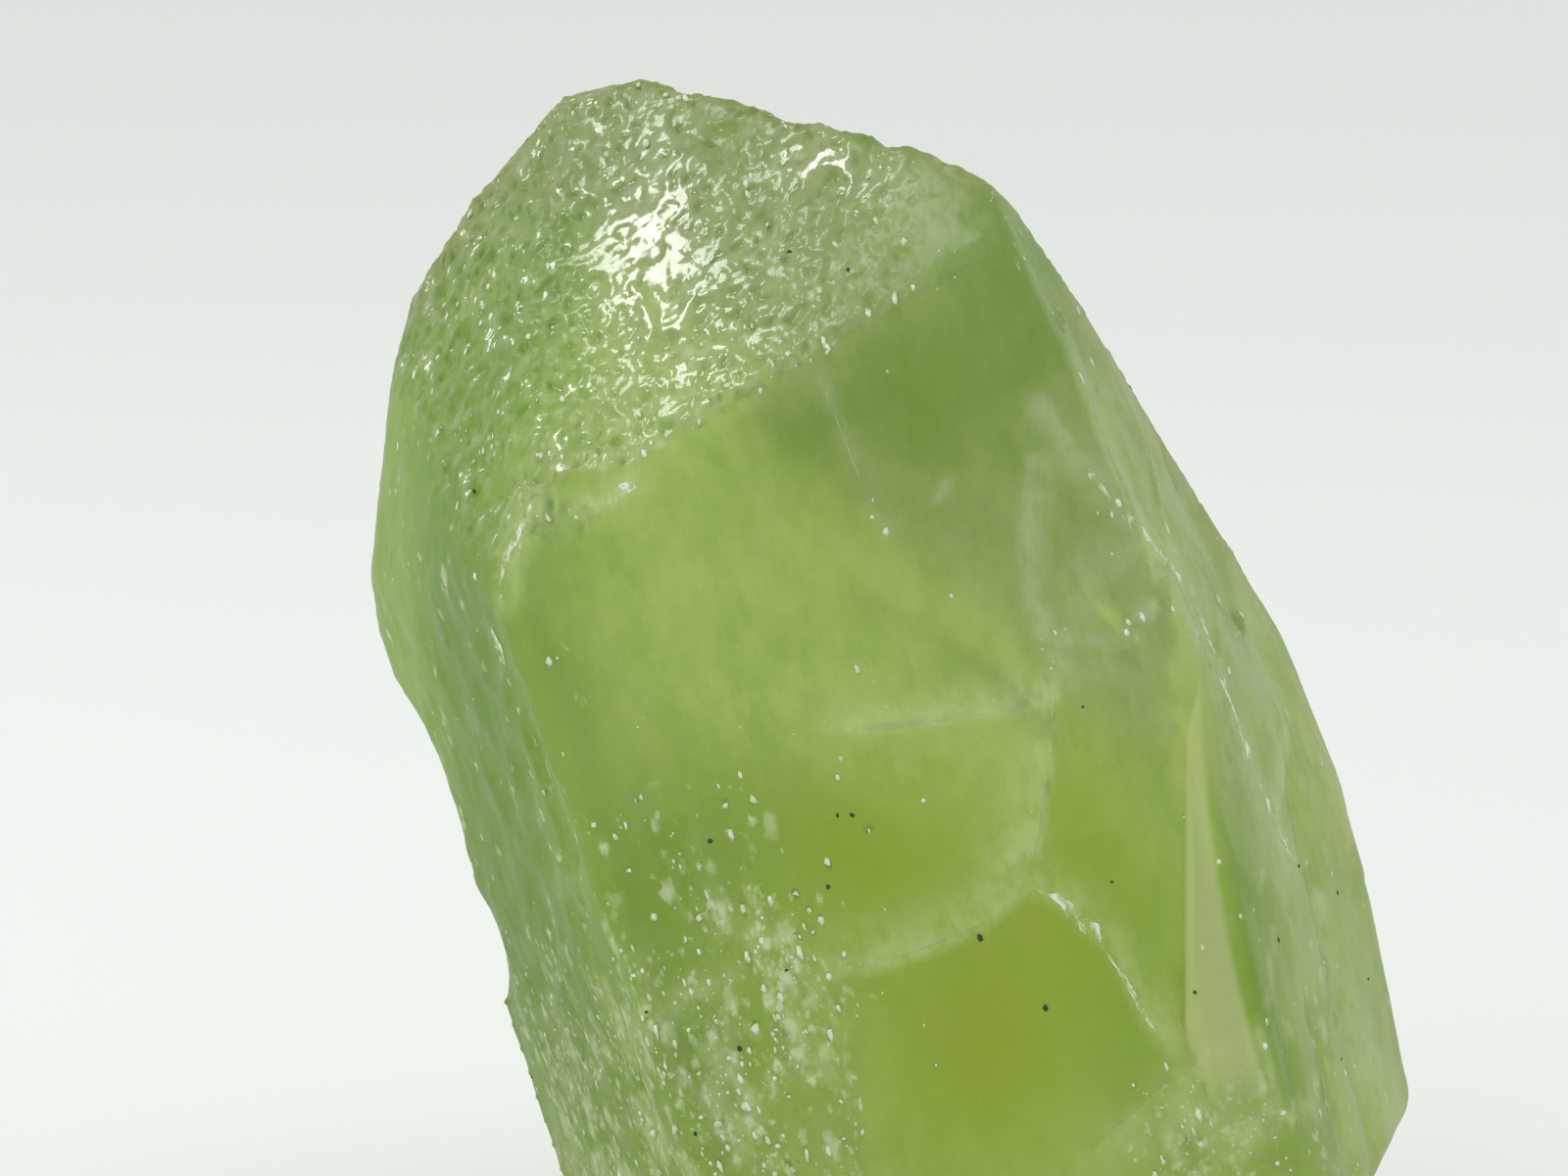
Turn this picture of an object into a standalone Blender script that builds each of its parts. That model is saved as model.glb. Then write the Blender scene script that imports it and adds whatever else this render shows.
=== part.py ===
"""A peridot crystal, one solid: a thick olivine blade with a pitted termination, broken flat across its foot.

Metres, +Z up. The crystal stands on z = 0 and leans to -X, with its broad front face towards -Y.
The origin is on the table, under the middle of the crystal's box.
"""

import math
import random

import bmesh
import bpy
from mathutils import Matrix, Vector

MM = 0.001

# Driving dimensions
HEIGHT = 24.0 * MM
SEED = 15  # of every scattered pit, ledge and scar rim
HALF_THICKNESS = 6.5 * MM  # from the middle plane to the broad front face
LEAN = math.radians(18.4)  # of the blade's length, away from upright
EDGE_WEAR = 0.34 * MM  # width of the rounding on every edge between two faces
PERIDOT_GREEN = (0.30, 0.44, 0.09, 1.0)
GROWTH = Vector((-math.sin(LEAN), 0.0, math.cos(LEAN)))  # the way the crystal grew, foot to tip

# Corners, x to the right, y away from the viewer, z up
APEX = Vector((-5.5, 0.0, 24.35)) * MM
TIP = Vector((-5.6, 0.0, 23.9)) * MM
ROOF_LEFT = Vector((-6.9, 0.3, 23.65)) * MM
ROOF_RIGHT = Vector((2.1, -5.3, 22.75)) * MM
LEFT_CORNER = Vector((-10.82, 0.0, 13.9)) * MM
LEFT_CORNER_BACK = Vector((-10.67, 0.0, 12.8)) * MM
RIGHT_CORNER = Vector((8.15, 0.15, 12.45)) * MM
RIGHT_FOOT = Vector((10.72, 0.0, 3.3)) * MM
FRONT_PEAK_LEFT = Vector((-7.8, -6.5, 15.1)) * MM
FRONT_PEAK_RIGHT = Vector((0.4, -6.5, 20.1)) * MM
FRONT_EDGE_TOP = Vector((1.9, -6.5, 22.2)) * MM
FRONT_EDGE_LOW = Vector((7.7, -6.5, 9.4)) * MM
MIDDLE = Vector((0.0, 0.0, 11.0)) * MM


def face_through(first, second, third):
    """A flat face as (outward direction, point on it), from three corners that it passes through."""
    outward = (second - first).cross(third - first).normalized()
    if outward.dot(first - MIDDLE) < 0:
        outward.negate()
    return outward, first


def face_towards(x, y, z, through):
    """A flat face as (outward direction, point on it)."""
    return Vector((x, y, z)).normalized(), through


FACES = {
    "front": face_towards(0.0, -1.0, 0.0, Vector((0.0, -HALF_THICKNESS, 0.0))),
    "back": face_towards(0.05, 1.0, 0.03, Vector((0.0, 0.93 * HALF_THICKNESS, MIDDLE.z))),
    "roof_front": face_through(FRONT_PEAK_LEFT, FRONT_PEAK_RIGHT, APEX),
    "roof_left": face_towards(-0.62, -0.55, 0.56, ROOF_LEFT),
    "roof_left_low": face_towards(-0.76, -0.54, 0.40, ROOF_LEFT + Vector((-2.0, 0.0, -2.3)) * MM),
    "roof_left_back": face_towards(-0.66, 0.56, 0.50, ROOF_LEFT),
    "roof_right_back": face_through(APEX, ROOF_RIGHT, RIGHT_CORNER + Vector((0.25, 0.0, 0.2)) * MM),
    "shoulder_left": face_towards(-0.905, -0.385, 0.11, LEFT_CORNER),
    "shoulder_left_back": face_towards(-0.905, 0.43, 0.09, LEFT_CORNER_BACK),
    "side_left": face_towards(-0.859, -0.423, -0.287, LEFT_CORNER),
    "side_left_back": face_towards(-0.859, 0.44, -0.28, LEFT_CORNER_BACK),
    "side_right": face_through(FRONT_EDGE_TOP, FRONT_EDGE_LOW, RIGHT_CORNER),
    "side_right_back": face_towards(0.859, 0.423, 0.287, RIGHT_CORNER),
    "foot_right": face_towards(0.90, -0.39, 0.19, RIGHT_FOOT),
    "foot_right_back": face_towards(0.90, 0.39, 0.19, RIGHT_FOOT),
    "foot_chip": face_towards(0.89, -0.10, -0.44, RIGHT_FOOT),
}

# Flat breaks, later than the rounding of the edges
BREAKS = {
    "base": face_towards(0.0, 0.0, -1.0, Vector((0.0, 0.0, 0.0))),
    "tip": face_towards(-0.30, -0.06, 0.95, TIP),
}

# Etched faces, with the spacing and depth of their pits in millimetres
PIT_MARGIN = 0.35  # least distance of a pit from its face's edge, as a share of the spacing
ETCHED = {
    "roof_front": (0.92, 0.20),
    "roof_left": (1.00, 0.14),
    "roof_left_low": (1.00, 0.12),
    "roof_left_back": (1.35, 0.16),
    "roof_right_back": (1.60, 0.18),
    "side_left": (1.50, 0.10),
}

# Growth ledges on a face, in millimetres: how many, how long, how wide, how deep at the stepped side
LEDGE_GRID = 0.9 * MM
LEDGE_MARGIN = 0.2 * MM
LEDGED = {
    "side_right": (7, 7.0, 1.3, 0.22),
    "side_left": (5, 6.0, 1.2, 0.18),
    "foot_right": (4, 6.0, 1.0, 0.20),
    "back": (7, 8.0, 2.6, 0.24),
    "side_left_back": (5, 6.5, 1.5, 0.22),
    "side_right_back": (4, 6.0, 1.5, 0.22),
}

# A slanted facet low on the front face, in millimetres. It rises to the face along its right side.
SLANT = 0.20  # depth per distance from that side
SLANT_SIDE = ((6.17, 12.12), (7.35, 3.90))  # its ends, as (x, z)
SLANT_OUTLINE = ((6.17, 12.40), (5.78, 11.28), (5.78, 5.74), (6.44, 3.42), (7.90, 3.60), (6.90, 12.40))

# Shell-shaped scars in millimetres: middle of the scar, the way it faces, its width and its depth
SCAR_RINGS = 5
SCAR_SIDES = 20
SCAR_LID = 3.0 * MM  # how far each cutter reaches outside the face
SCAR_OVERRUN = 1.25  # how far its bowl runs on past the scar's rim
SCAR_LOBE = 0.06  # unevenness of the rim
SCARS = {
    "front_dish": ((-1.9, -6.5, 11.3), (0.040, -1.0, -0.035), 7.6, 0.22),
    "front_scallop": ((4.5, -6.5, 14.4), (0.30, -0.95, 0.15), 2.3, 0.30),
    "foot_front_right": ((6.6, -6.5, 2.5), (0.30, -0.85, -0.40), 6.8, 0.60),
    "foot_front": ((1.2, -6.5, 0.3), (0.10, -0.80, -0.60), 5.0, 0.35),
    "foot_front_left": ((-4.2, -6.2, 0.1), (-0.30, -0.70, -0.60), 4.4, 0.45),
    "foot_left": ((-6.2, 0.4, 0.2), (-0.80, 0.05, -0.60), 4.2, 0.60),
    "foot_back_left": ((-3.4, 6.0, 0.3), (-0.20, 0.75, -0.62), 4.8, 0.50),
    "foot_back_right": ((3.6, 6.0, 0.4), (0.25, 0.80, -0.55), 5.4, 0.60),
    "back_dish": ((1.8, 6.1, 8.2), (0.10, 1.0, 0.10), 6.4, 0.45),
    "ridge_notch_tip": ((-3.9, -0.9, 23.95), (0.05, 0.25, 0.97), 0.9, 0.16),
    "ridge_notch_long": ((-1.4, -2.6, 23.45), (0.15, 0.45, 0.88), 1.9, 0.20),
    "ridge_notch_step": ((0.1, -3.8, 23.05), (0.10, 0.30, 0.95), 1.1, 0.20),
    "ridge_notch_right": ((1.2, -4.6, 22.85), (0.20, 0.30, 0.93), 1.2, 0.18),
    "apex_notch": ((-6.7, 0.1, 23.75), (-0.45, -0.10, 0.88), 0.8, 0.12),
    "left_edge_high": ((-9.15, 0.0, 9.5), (-0.92, 0.0, -0.30), 4.2, 0.22),
    "left_edge_low": ((-8.05, 0.0, 6.6), (-0.92, 0.0, -0.30), 2.4, 0.15),
    "right_edge_dent": ((8.75, 0.1, 11.3), (0.90, 0.0, 0.40), 1.5, 0.10),
    "right_edge_nick": ((9.85, 0.1, 7.55), (0.95, 0.0, 0.20), 0.7, 0.20),
    "left_front_edge": ((-7.7, -6.4, 14.2), (-0.70, -0.70, 0.10), 1.6, 0.20),
    "left_front_edge_low": ((-7.4, -6.4, 12.6), (-0.62, -0.78, 0.0), 1.5, 0.16),
    "roof_front_ledge": ((-6.3, -6.4, 15.9), (-0.20, -0.90, 0.38), 1.8, 0.20),
    "right_front_edge": ((4.9, -6.2, 16.9), (0.60, -0.75, 0.25), 2.0, 0.22),
}


def slice_off(mesh, outward, through):
    """Takes away everything beyond a plane and closes the cut with one flat face."""
    everything = mesh.verts[:] + mesh.edges[:] + mesh.faces[:]
    cut = bmesh.ops.bisect_plane(
        mesh, geom=everything, plane_co=through, plane_no=outward, clear_outer=True
    )
    rim = [edge for edge in cut["geom_cut"] if isinstance(edge, bmesh.types.BMEdge)]
    bmesh.ops.contextual_create(mesh, geom=rim)


def crystal_body():
    """The blade: a block sliced once along each crystal face, its edges worn round, then broken flat."""
    mesh = bmesh.new()
    bmesh.ops.create_cube(mesh, size=3 * HEIGHT)
    for outward, through in FACES.values():
        slice_off(mesh, outward, through)
    bmesh.ops.bevel(
        mesh, geom=mesh.edges[:], offset=EDGE_WEAR, segments=2, profile=0.5, affect="EDGES",
        material=-1, clamp_overlap=True,
    )
    for outward, through in BREAKS.values():
        slice_off(mesh, outward, through)
    return mesh


def face_axes(outward, spot):
    """A matrix at a spot on a face: x across the face, y up it along the growth, z out of it."""
    up = (GROWTH - outward * GROWTH.dot(outward)).normalized()
    across = up.cross(outward)
    turned = Matrix((across, up, outward)).transposed().to_4x4()
    return Matrix.Translation(spot) @ turned


def inside_other_faces(spot, own_name, margin):
    """True where a spot on a face's plane lies on the crystal, at least a margin from the face's edges."""
    others = [face for name, face in FACES.items() if name != own_name] + list(BREAKS.values())
    return all((spot - through).dot(outward) < -margin for outward, through in others)


def spots_on(name, spacing, margin, chance):
    """Spots scattered over a face on a jittered grid."""
    outward, through = FACES[name]
    axes = face_axes(outward, through)
    steps = round(HEIGHT / spacing)
    for row in range(-steps, steps + 1):
        for column in range(-steps, steps + 1):
            x = (column + 0.5 * (row % 2) + chance.uniform(-0.3, 0.3)) * spacing
            y = (row + chance.uniform(-0.3, 0.3)) * spacing
            spot = axes @ Vector((x, y, 0.0))
            if inside_other_faces(spot, name, margin):
                yield spot


def etch_pit(width, depth, stretch, turn, axes):
    """Cutter for one etch pit: a six-sided cone, point inwards, longer up the face than across it."""
    mesh = bmesh.new()
    tip = 0.12 * width
    bmesh.ops.create_cone(
        mesh, cap_ends=True, segments=6, radius1=tip, radius2=width - tip, depth=2 * depth
    )
    shaped = Matrix.Diagonal((1.0, stretch, 1.0, 1.0)) @ Matrix.Rotation(turn, 4, "Z")
    mesh.transform(axes @ shaped)
    return mesh


def let_in(outline, depth_at, axes):
    """Cutter for a flat let into a face: its outline, extruded to a tilted end inside the crystal."""
    mesh = bmesh.new()
    mesh.faces.new([mesh.verts.new((x, y, MM)) for x, y in outline])
    grown = bmesh.ops.extrude_face_region(mesh, geom=mesh.faces[:])["geom"]
    for vert in (item for item in grown if isinstance(item, bmesh.types.BMVert)):
        vert.co.z = -depth_at(vert.co.x, vert.co.y)
    mesh.normal_update()
    bmesh.ops.recalc_face_normals(mesh, faces=mesh.faces)
    mesh.transform(axes)
    return mesh


def growth_ledge(length, width, depth, axes):
    """Cutter for one growth ledge: long and tapered, deep along one side and running out at the other."""
    half, end = 0.5 * width, 0.5 * length
    outline = ((-half, -end), (half, -0.5 * end), (0.3 * half, end), (-half, 0.6 * end))
    return let_in(outline, lambda x, y: depth * (0.35 - x / width - 0.3 * y / length), axes)


def slanted_facet():
    """Cutter for the slanted facet, which rises to the front face along one side."""
    top, foot = (MM * Vector(end) for end in SLANT_SIDE)
    left = Vector((foot.y - top.y, top.x - foot.x)).normalized()
    outline = [MM * Vector(corner) for corner in SLANT_OUTLINE]
    axes = Matrix.Translation((0.0, -HALF_THICKNESS, 0.0)) @ Matrix.Rotation(math.radians(90), 4, "X")
    return let_in(outline, lambda x, y: SLANT * (Vector((x, y)) - top).dot(left), axes)


def shell_scar(middle, facing, width, depth, chance):
    """Cutter for a shell-shaped scar: a shallow bowl, uneven around its rim, with a tall lid outside."""
    rim = 0.5 * width
    mesh = bmesh.new()
    profile = [mesh.verts.new((0.0, 0.0, SCAR_LID)), mesh.verts.new((SCAR_OVERRUN * rim, 0.0, SCAR_LID))]
    for step in range(SCAR_RINGS, -1, -1):
        share = SCAR_OVERRUN * step / SCAR_RINGS
        profile.append(mesh.verts.new((share * rim, 0.0, depth * (share**3 - 1.0))))
    edges = [mesh.edges.new(pair) for pair in zip(profile, profile[1:])]
    bmesh.ops.spin(
        mesh, geom=profile + edges, cent=(0.0, 0.0, 0.0), axis=(0.0, 0.0, 1.0), dvec=(0.0, 0.0, 0.0),
        angle=math.tau, steps=SCAR_SIDES, use_merge=True, use_duplicate=False,
    )
    bmesh.ops.remove_doubles(mesh, verts=mesh.verts, dist=0.001 * MM)
    bmesh.ops.recalc_face_normals(mesh, faces=mesh.faces)
    phases = [chance.uniform(0.0, math.tau) for _ in range(3)]
    for vert in mesh.verts:
        around = math.atan2(vert.co.y, vert.co.x)
        bulge = sum(math.sin((lobe + 2) * around + phase) for lobe, phase in enumerate(phases))
        vert.co.xy *= 1.0 + SCAR_LOBE * bulge
    out = Vector(facing).normalized()
    turned = out.to_track_quat("Z", "Y").to_matrix().to_4x4()
    mesh.transform(Matrix.Translation(Vector(middle) * MM) @ turned)
    return mesh


def pit_cutters(chance):
    """Every etch pit on the etched faces, as (name, bmesh)."""
    for name, (spacing, depth) in ETCHED.items():
        outward, _ = FACES[name]
        for number, spot in enumerate(spots_on(name, spacing * MM, PIT_MARGIN * spacing * MM, chance)):
            width = chance.uniform(0.65, 1.05) * spacing * MM
            pit_depth = chance.uniform(0.6, 1.2) * depth * MM
            stretch = chance.uniform(1.0, 1.7)
            turn = chance.uniform(0.0, math.tau)
            yield f"pit_{name}_{number}", etch_pit(
                width, pit_depth, stretch, turn, face_axes(outward, spot)
            )


def ledge_cutters(chance):
    """The slanted facet and every growth ledge, as (name, bmesh)."""
    yield "slanted_facet", slanted_facet()
    for name, (count, length, width, depth) in LEDGED.items():
        outward, _ = FACES[name]
        spots = list(spots_on(name, LEDGE_GRID, LEDGE_MARGIN, chance))
        for number, spot in enumerate(chance.sample(spots, count)):
            share = chance.uniform(0.6, 1.3)
            yield f"ledge_{name}_{number}", growth_ledge(
                share * length * MM, chance.uniform(0.7, 1.3) * width * MM, depth * MM,
                face_axes(outward, spot),
            )


def scar_cutters(chance):
    """Every shell-shaped scar, as (name, bmesh)."""
    for name, (middle, facing, width, depth) in SCARS.items():
        yield f"scar_{name}", shell_scar(middle, facing, width * MM, depth * MM, chance)


def add_object(name, mesh, collection):
    """Makes an object of a bmesh in a collection."""
    data = bpy.data.meshes.new(name)
    mesh.to_mesh(data)
    mesh.free()
    obj = bpy.data.objects.new(name, data)
    collection.objects.link(obj)
    return obj


def add_collection(name):
    """A new collection under the scene's own."""
    collection = bpy.data.collections.new(name)
    bpy.context.scene.collection.children.link(collection)
    return collection


def carve(body, label, cutters):
    """Cuts a set of cutters, as (name, bmesh), out of the body with one Boolean."""
    collection = add_collection(label)
    for name, mesh in cutters:
        cutter = add_object(name, mesh, collection)
        cutter.hide_render = True
        cutter.display_type = "WIRE"
    boolean = body.modifiers.new(label, "BOOLEAN")
    boolean.operation = "DIFFERENCE"
    boolean.operand_type = "COLLECTION"
    boolean.collection = collection


def peridot():
    """Plain green gem material for the solid."""
    material = bpy.data.materials.new("peridot")
    material.use_nodes = True
    surface = material.node_tree.nodes["Principled BSDF"]
    surface.inputs["Base Color"].default_value = PERIDOT_GREEN
    surface.inputs["Roughness"].default_value = 0.3
    surface.inputs["Metallic"].default_value = 0.0
    surface.inputs["IOR"].default_value = 1.67
    surface.inputs["Transmission Weight"].default_value = 0.6
    return material


def main():
    """Clears the scene and builds the crystal."""
    for obj in list(bpy.data.objects):
        bpy.data.objects.remove(obj)
    chance = random.Random(SEED)
    crystal = add_object("peridot_crystal", crystal_body(), add_collection("peridot crystal"))
    crystal.data.materials.append(peridot())
    carve(crystal, "growth ledges", ledge_cutters(chance))
    carve(crystal, "shell scars", scar_cutters(chance))
    carve(crystal, "etch pits", pit_cutters(chance))


main()
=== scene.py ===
# %% [markdown]
# A peridot crystal under a magnifier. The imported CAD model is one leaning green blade, 21 mm wide and 24 mm tall,
# broken off flat at its foot. This lesson gives it the skin, the colour and the flaws of the real stone.

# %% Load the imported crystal
import math

import bmesh
import bpy
import numpy as np
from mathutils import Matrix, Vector, noise
from mathutils.bvhtree import BVHTree


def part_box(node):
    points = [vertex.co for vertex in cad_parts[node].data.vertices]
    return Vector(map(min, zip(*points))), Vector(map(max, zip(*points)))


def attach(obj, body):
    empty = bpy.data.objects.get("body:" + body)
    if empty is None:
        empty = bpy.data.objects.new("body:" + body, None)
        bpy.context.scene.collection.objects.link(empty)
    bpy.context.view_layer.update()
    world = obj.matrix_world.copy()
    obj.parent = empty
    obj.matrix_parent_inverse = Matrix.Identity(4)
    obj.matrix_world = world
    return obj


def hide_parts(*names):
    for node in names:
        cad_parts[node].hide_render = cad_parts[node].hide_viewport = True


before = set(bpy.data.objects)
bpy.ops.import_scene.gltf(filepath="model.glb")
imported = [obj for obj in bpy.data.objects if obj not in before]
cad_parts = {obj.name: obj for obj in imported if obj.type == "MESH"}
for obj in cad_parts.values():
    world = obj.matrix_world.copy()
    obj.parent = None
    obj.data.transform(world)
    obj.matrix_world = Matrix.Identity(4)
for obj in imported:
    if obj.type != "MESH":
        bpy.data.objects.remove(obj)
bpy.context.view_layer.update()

MM = 0.001
crystal_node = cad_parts["peridot_crystal"]
low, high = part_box("peridot_crystal")
print("crystal from", [round(v / MM, 2) for v in low], "to", [round(v / MM, 2) for v in high], "mm")

# %% [markdown]
# The camera comes before the looks, because every comparison is made through it. It is a close-up lens 200 mm away,
# raised 6 degrees above the table, and a picture that is 1600 pixels wide spans 32 mm at the crystal. The crystal
# stands right of the middle and its foot is cut off, so the camera is aimed beside it and uses no lens shift,
# which would follow it into every other view.

# %% Camera
PICTURE_WIDTH = 1600
PICTURE_HEIGHT = 1200
PIXELS_PER_MM = 50
CAMERA_DISTANCE = 200 * MM
CAMERA_RISE = math.radians(6)
SENSOR_MM = 36
LOOK_AT = Vector((0, 0, 12 * MM))
LOOK_AT_PIXEL = (909, 684)

towards_camera = Vector((0, -math.cos(CAMERA_RISE), math.sin(CAMERA_RISE)))
picture_right = Vector((1, 0, 0))
picture_up = Vector((0, math.sin(CAMERA_RISE), math.cos(CAMERA_RISE)))
aim_right = (PICTURE_WIDTH / 2 - LOOK_AT_PIXEL[0]) / PIXELS_PER_MM * MM
aim_up = (LOOK_AT_PIXEL[1] - PICTURE_HEIGHT / 2) / PIXELS_PER_MM * MM
camera_place = LOOK_AT + towards_camera * CAMERA_DISTANCE
aim = LOOK_AT + picture_right * aim_right + picture_up * aim_up

lens = bpy.data.cameras.new("camera")
lens.sensor_fit = "HORIZONTAL"
lens.sensor_width = SENSOR_MM
lens.lens = SENSOR_MM * CAMERA_DISTANCE / (PICTURE_WIDTH / PIXELS_PER_MM * MM)
lens.clip_start = 10 * MM
camera = bpy.data.objects.new("camera", lens)
camera.location = camera_place
camera.rotation_euler = (aim - camera_place).to_track_quat("-Z", "Y").to_euler()
bpy.context.scene.collection.objects.link(camera)
bpy.context.scene.camera = camera
print("lens", round(lens.lens), "mm, camera", [round(v / MM, 1) for v in camera_place], "mm")

# %% [markdown]
# A see-through stone shows what is behind it, so the room matters as much as the lamps. The sky and the table are
# the same pale grey, and then no horizon cuts through the stone. The table is one large disc, a hair under the
# foot so that the two faces never share a plane.

# %% Table and room
PALE_GREY = (0.80, 0.82, 0.80)
PAPER_CLOUD = (0.81, 0.83, 0.81)
ROOM_STRENGTH = 1.10
TABLE_RADIUS = 2.0
TABLE_SIDES = 96
TABLE_GAP = 0.02 * MM


def add_object(name, mesh):
    """Puts a mesh into the scene as an object at the origin."""
    thing = bpy.data.objects.new(name, mesh)
    bpy.context.scene.collection.objects.link(thing)
    return thing


def new_material(name):
    """An empty node material, with its tree and its output node."""
    material = bpy.data.materials.new(name)
    material.use_nodes = True
    material.node_tree.nodes.clear()
    output = material.node_tree.nodes.new("ShaderNodeOutputMaterial")
    return material, material.node_tree, output


def table_material():
    """Matt pale paper with a faint cloudiness."""
    material, tree, output = new_material("table_paper")
    shader = tree.nodes.new("ShaderNodeBsdfPrincipled")
    place = tree.nodes.new("ShaderNodeTexCoord")
    cloud = tree.nodes.new("ShaderNodeTexNoise")
    tint = tree.nodes.new("ShaderNodeMix")
    tint.data_type = "RGBA"
    tint.inputs["A"].default_value = (*PALE_GREY, 1)
    tint.inputs["B"].default_value = (*PAPER_CLOUD, 1)
    cloud.inputs["Scale"].default_value = 8
    shader.inputs["Roughness"].default_value = 0.9
    tree.links.new(place.outputs["Object"], cloud.inputs["Vector"])
    tree.links.new(cloud.outputs["Fac"], tint.inputs["Factor"])
    tree.links.new(tint.outputs["Result"], shader.inputs["Base Color"])
    tree.links.new(shader.outputs["BSDF"], output.inputs["Surface"])
    return material


disc = bmesh.new()
bmesh.ops.create_circle(disc, cap_ends=True, segments=TABLE_SIDES, radius=TABLE_RADIUS)
bmesh.ops.translate(disc, verts=disc.verts, vec=(0, 0, -TABLE_GAP))
table_mesh = bpy.data.meshes.new("table")
disc.to_mesh(table_mesh)
disc.free()
table = add_object("table", table_mesh)
table_mesh.materials.append(table_material())

room = bpy.data.worlds.new("room")
room.use_nodes = True
sky = room.node_tree.nodes["Background"]
sky.inputs["Color"].default_value = (*PALE_GREY, 1)
sky.inputs["Strength"].default_value = ROOM_STRENGTH
bpy.context.scene.world = room
bpy.context.scene.view_settings.view_transform = "Standard"
print("table", TABLE_RADIUS * 2, "m across")

# %% [markdown]
# Three soft lamps are enough. The small one hangs high on the left, where the rough top face mirrors it into the
# lens, and it makes the white glitter there. Another on the left, behind the stone, does the same for the left
# faces. The wide one, over the viewer's shoulder, lifts the front face.

# %% Lamps
GLITTER_FROM = Vector((-0.56, -0.12, 0.82))
GLITTER_AWAY = 350 * MM
GLITTER_SIZE = 60 * MM
GLITTER_WATTS = 0.21
SIDE_FROM = Vector((-0.78, 0.32, 0.50))
SIDE_AWAY = 350 * MM
SIDE_SIZE = 50 * MM
SIDE_WATTS = 0.08
FILL_FROM = Vector((-0.35, -0.80, 0.50))
FILL_AWAY = 500 * MM
FILL_SIZE = 300 * MM
FILL_WATTS = 0.20


def add_lamp(name, direction, away, size, watts):
    """A square soft lamp that shines at the crystal from one side."""
    light = bpy.data.lights.new(name, "AREA")
    light.shape = "SQUARE"
    light.size = size
    light.energy = watts
    lamp = bpy.data.objects.new(name, light)
    lamp.location = LOOK_AT + direction.normalized() * away
    lamp.rotation_euler = (LOOK_AT - lamp.location).to_track_quat("-Z", "Y").to_euler()
    lamp.visible_transmission = False
    bpy.context.scene.collection.objects.link(lamp)
    return lamp


add_lamp("glitter_lamp", GLITTER_FROM, GLITTER_AWAY, GLITTER_SIZE, GLITTER_WATTS)
add_lamp("side_lamp", SIDE_FROM, SIDE_AWAY, SIDE_SIZE, SIDE_WATTS)
add_lamp("fill_lamp", FILL_FROM, FILL_AWAY, FILL_SIZE, FILL_WATTS)
print("three lamps")

# %% [markdown]
# The CAD skin is made of large flat faces, and the real one is etched all over. Fine relief needs an even net of
# small faces, so a copy of the CAD mesh is remeshed with voxels, relaxed, and pulled back onto the CAD faces, which
# keeps every crystal edge where it was. The top faces seen by the camera get a net twice as fine for their glitter.

# %% A fine even skin
VOXEL = 0.165 * MM
RELAX_TURNS = 3
RELAX_SHARE = 0.5
TOP_SLOPE = 0.22      # faces that look up by more than this count as top faces
FRONT_SLOPE = 0.05    # and these look towards the viewer
DOUBLE = 0.001 * MM


def merged_copy(node):
    """A bmesh of a CAD node with its loose triangles joined. The node itself isn't touched."""
    copy = bmesh.new()
    copy.from_mesh(node.data)
    bmesh.ops.remove_doubles(copy, verts=copy.verts, dist=DOUBLE)
    return copy


def voxel_net(solid, voxel):
    """A closed net of even quads around a solid."""
    start = bpy.data.meshes.new("start")
    solid.to_mesh(start)
    holder = add_object("holder", start)
    remesh = holder.modifiers.new("even", "REMESH")
    remesh.mode = "VOXEL"
    remesh.voxel_size = voxel
    graph = bpy.context.evaluated_depsgraph_get()
    net = bmesh.new()
    net.from_object(holder, graph)
    bpy.data.objects.remove(holder)
    bpy.data.meshes.remove(start)
    return net


cad_solid = merged_copy(crystal_node)
cad_tree = BVHTree.FromBMesh(cad_solid)
net = voxel_net(cad_solid, VOXEL)
for turn in range(RELAX_TURNS):
    bmesh.ops.smooth_vert(net, verts=net.verts, factor=RELAX_SHARE, use_axis_x=True, use_axis_y=True, use_axis_z=True)
net.normal_update()
top_faces = [f for f in net.faces if f.normal.z > TOP_SLOPE and f.normal.y < -FRONT_SLOPE]
top_edges = list({edge for face in top_faces for edge in face.edges})
bmesh.ops.subdivide_edges(net, edges=top_edges, cuts=1, use_grid_fill=True)
for vert in net.verts:
    vert.co = cad_tree.find_nearest(vert.co)[0]
net.normal_update()
print("net of", len(net.verts), "points and", len(net.faces), "faces")

# %% [markdown]
# Which relief belongs where follows from the way a face looks: top faces are etched, side faces carry lines that run
# along the growth direction, front and back are nearly smooth. The directions are averaged over neighbours first,
# so that one kind of relief fades into the next over half a millimetre, as it does on the stone.

# %% Read the net as arrays
LEAN = math.radians(18.4)
GROWTH = np.array([-math.sin(LEAN), 0, math.cos(LEAN)])
ACROSS = np.array([math.cos(LEAN), 0, math.sin(LEAN)])
BLUR_TURNS = 14
WORN_EDGES = (
    ((1.9, -6.5, 22.2), (7.7, -6.5, 9.4)),    # the right edge of the front face
    ((0.4, -6.5, 20.1), (2.1, -5.3, 22.4)),   # the right end of the big top face's lower edge
)
WORN_REACH = 1.2
WEAR_TURNS = 70
FILL_TURNS = 26
FILL_REACH = 4
LEFT_OUTLINE = ((-9.2, 0.3, 10.2), (-7.6, 0.0, 4.5))
LEFT_REACH = 2.4
RIGHT_LEAST = 0.25    # the steep right side looks up a little too, and isn't etched

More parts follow.
